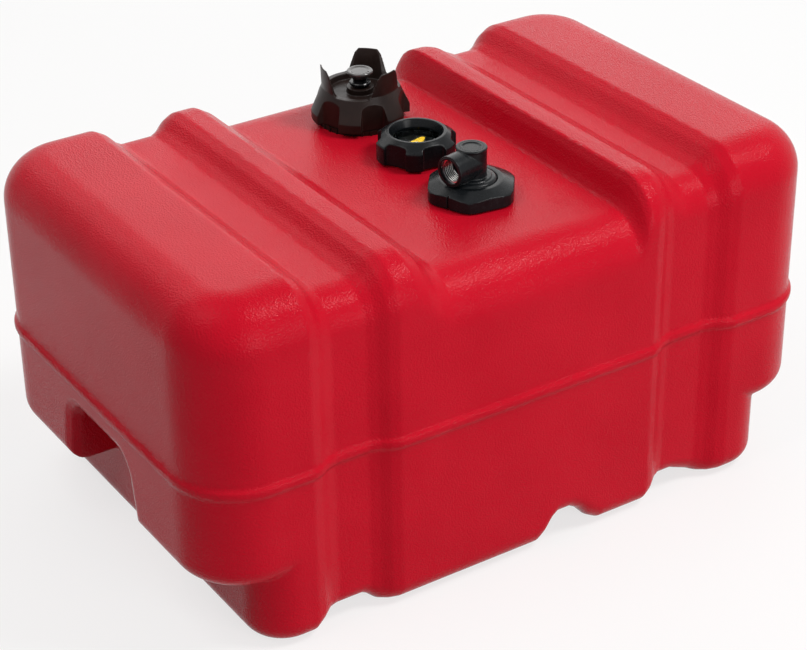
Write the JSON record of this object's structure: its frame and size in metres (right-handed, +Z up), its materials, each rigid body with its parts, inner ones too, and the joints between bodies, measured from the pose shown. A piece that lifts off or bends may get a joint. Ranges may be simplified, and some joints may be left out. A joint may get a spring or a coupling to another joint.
{
  "type": "outboard fuel tank",
  "caption": "Portable fuel tank with sunken deck, strap grooves, hand recesses, vented screw cap, float level gauge and dip-tube pickup.",
  "frame": {"origin": "on the floor, under the middle of the tank's bounding box", "axes": "+X along the tank, +Z up, -Y the long side nearest the fuel pickup"},
  "size_m": [0.5894, 0.3746, 0.3245],
  "materials": {
    "red_tank": "fine leather-like grain",
    "black_cap": "satin",
    "black_fitting": "satin",
    "grey_knob": "glossy",
    "seal_rubber": "matt",
    "clear_lens": "clear plastic window",
    "dial_black": "matt",
    "yellow_pointer": "satin",
    "steel": "bright",
    "magnet": "dull plated",
    "white_plastic": "natural",
    "float_foam": "closed-cell nitrile foam",
    "brass_strip": "bright",
    "mesh_steel": "fine mesh"
  },
  "bodies": {
    "tank": {"tank_shell": "red_tank", "fill_neck_collar": "black_cap"},
    "cap_carriage": {"fill_cap_gasket": "seal_rubber"},
    "fill_cap": {"fill_cap": "black_cap"},
    "vent_carriage": {"vent_seal": "seal_rubber"},
    "vent": {"vent_knob": "grey_knob", "vent_screw": "black_cap"},
    "gauge": {"gauge_body": "black_fitting", "gauge_gasket": "seal_rubber", "gauge_lens": "clear_lens", "gauge_dial": "dial_black", "pointer_pin": "steel", "shaft_bush": "white_plastic", "guide_rods": "steel", "guide_foot": "white_plastic"},
    "gauge_nut": {"gauge_ring_nut": "black_fitting"},
    "pointer": {"gauge_pointer": "yellow_pointer", "follower_magnet": "magnet"},
    "drive": {"twist_strip": "brass_strip", "drive_magnet": "magnet"},
    "float": {"gauge_float": "float_foam", "float_insert": "white_plastic"},
    "pickup": {"pickup_head": "black_fitting", "pickup_gasket": "seal_rubber", "port_insert": "steel", "turret_plug": "black_fitting", "dip_tube": "white_plastic", "filter_cup": "white_plastic", "filter_screen": "mesh_steel"},
    "pickup_nut": {"pickup_nut": "black_fitting"}
  },
  "joints": [
    {"name": "fill_cap_rise", "type": "slide", "parent": "tank", "child": "cap_carriage", "axis": [0, 0, 1], "range_m": [0, 0.02541]},
    {"name": "fill_cap_turn", "type": "hinge", "parent": "cap_carriage", "child": "fill_cap", "pos_m": [0.0235, 0.104, 0.273], "axis": [0, 0, 1], "range_deg": [0, 1440]},
    {"name": "vent_rise", "type": "slide", "parent": "fill_cap", "child": "vent_carriage", "axis": [0, 0, 1], "range_m": [0, 0.00251]},
    {"name": "vent_turn", "type": "hinge", "parent": "vent_carriage", "child": "vent", "pos_m": [0.0235, 0.104, 0.273], "axis": [0, 0, 1], "range_deg": [0, 720]},
    {"name": "gauge_rise", "type": "slide", "parent": "tank", "child": "gauge", "axis": [0, 0, 1], "range_m": [0, 0.01271]},
    {"name": "gauge_nut_turn", "type": "hinge", "parent": "gauge", "child": "gauge_nut", "pos_m": [0.021, 0.014, 0.273], "axis": [0, 0, 1], "range_deg": [0, 720]},
    {"name": "float_slide", "type": "slide", "parent": "gauge", "child": "float", "axis": [0, 0, 1], "range_m": [0, 0.204]},
    {"name": "strip_turn", "type": "hinge", "parent": "gauge", "child": "drive", "pos_m": [0.021, 0.014, 0.273], "axis": [0, 0, 1], "range_deg": [-270.01, 0]},
    {"name": "pointer_turn", "type": "hinge", "parent": "gauge", "child": "pointer", "pos_m": [0.021, 0.014, 0.273], "axis": [0, 0, 1], "range_deg": [-270.01, 0]},
    {"name": "pickup_rise", "type": "slide", "parent": "tank", "child": "pickup", "axis": [0, 0, 1], "range_m": [0, 0.01271]},
    {"name": "pickup_nut_turn", "type": "hinge", "parent": "pickup", "child": "pickup_nut", "pos_m": [0.018, -0.07, 0.273], "axis": [0, 0, 1], "range_deg": [0, 720]}
  ],
  "couplings": [
    {"joint": "fill_cap_rise", "follows": "fill_cap_turn", "m_per_rad": 0.0010106},
    {"joint": "vent_rise", "follows": "vent_turn", "m_per_rad": 0.00019894},
    {"joint": "gauge_rise", "follows": "gauge_nut_turn", "m_per_rad": 0.0010106},
    {"joint": "pickup_rise", "follows": "pickup_nut_turn", "m_per_rad": 0.0010106},
    {"joint": "strip_turn", "follows": "float_slide", "rad_per_m": -23.1},
    {"joint": "pointer_turn", "follows": "float_slide", "rad_per_m": -23.1}
  ]
}
